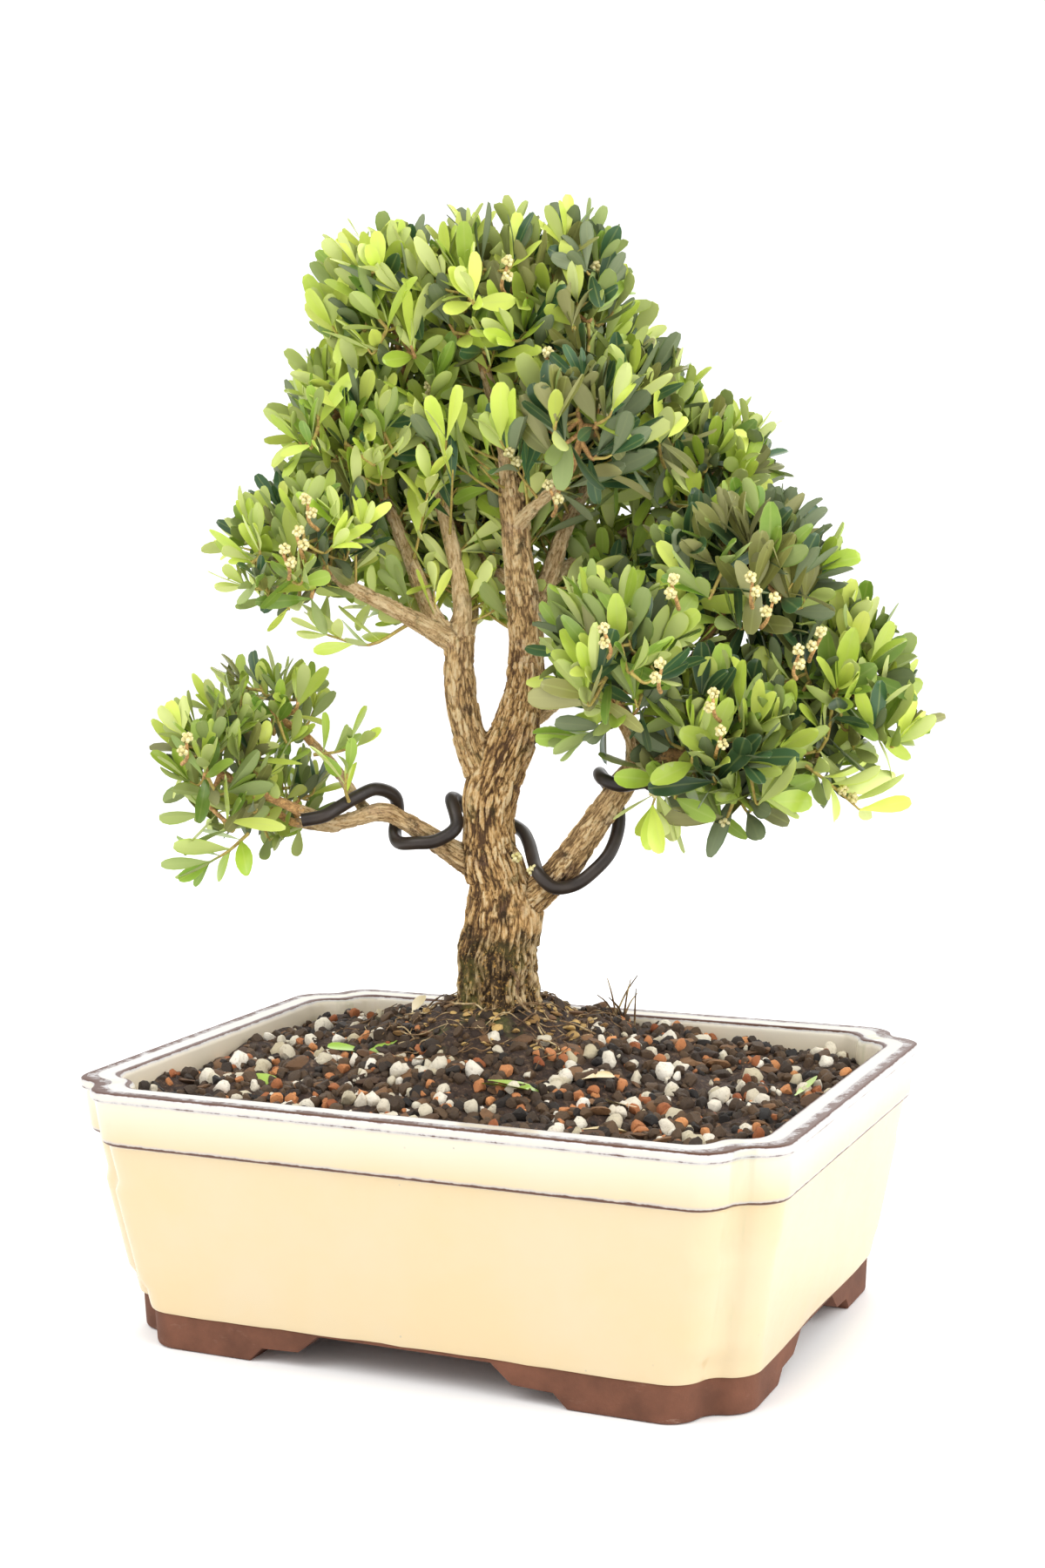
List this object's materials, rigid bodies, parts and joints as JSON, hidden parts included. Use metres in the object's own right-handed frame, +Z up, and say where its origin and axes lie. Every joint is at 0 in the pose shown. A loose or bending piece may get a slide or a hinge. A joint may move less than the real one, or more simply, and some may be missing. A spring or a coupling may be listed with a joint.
{
  "type": "bonsai tree",
  "caption": "Small-leaved evergreen bonsai with a flared, forking trunk and spreading leafy boughs, in a shallow rectangular glazed pot with notched corners.",
  "frame": {"origin": "centre of the whole object's bounding box in X and Y, on the plane that the pot's feet stand on", "axes": "+Z up, +X along the pot's long side towards the side with the lower front boughs, +Y from the front of the pot to its back"},
  "size_m": [0.2696, 0.2378, 0.3991],
  "materials": {
    "glaze": "gloss cream glaze on the walls and rim, unglazed brown clay foot",
    "soil": "damp grit: dark fines with pale pumice grains",
    "bark": "dry corky bark, furrowed lengthwise",
    "wire": "satin dark brown anodised wire",
    "leaves": "satin leathery leaves"
  },
  "bodies": {
    "root": {"back_limb": "bark", "back_top_limb": "bark", "centre_limb": "bark", "front_right_limb": "bark", "leaves_back_left": "leaves", "leaves_back_right": "leaves", "leaves_back_top": "leaves", "leaves_centre": "leaves", "leaves_front_inner": "leaves", "leaves_front_low": "leaves", "leaves_front_outer": "leaves", "leaves_front_right": "leaves", "leaves_front_upper": "leaves", "leaves_left_high": "leaves", "leaves_left_low": "leaves", "leaves_low_left_back": "leaves", "leaves_low_left_outer": "leaves", "leaves_low_left_upper": "leaves", "leaves_right_far": "leaves", "leaves_right_high": "leaves", "leaves_right_side": "leaves", "leaves_top": "leaves", "leaves_top_left": "leaves", "leaves_top_right": "leaves", "left_back_limb": "bark", "left_bough": "bark", "left_high_limb": "bark", "left_low_limb": "bark", "left_top_limb": "bark", "low_left_bough": "bark", "low_left_lower_limb": "bark", "low_left_upper_limb": "bark", "low_right_bough": "bark", "pot": "glaze", "right_far_limb": "bark", "right_high_limb": "bark", "right_inner_limb": "bark", "right_outer_limb": "bark", "right_side_limb": "bark", "right_upper_limb": "bark", "soil": "soil", "top_limb": "bark", "top_right_limb": "bark", "training_wire": "wire", "trunk": "bark"}
  },
  "joints": []
}
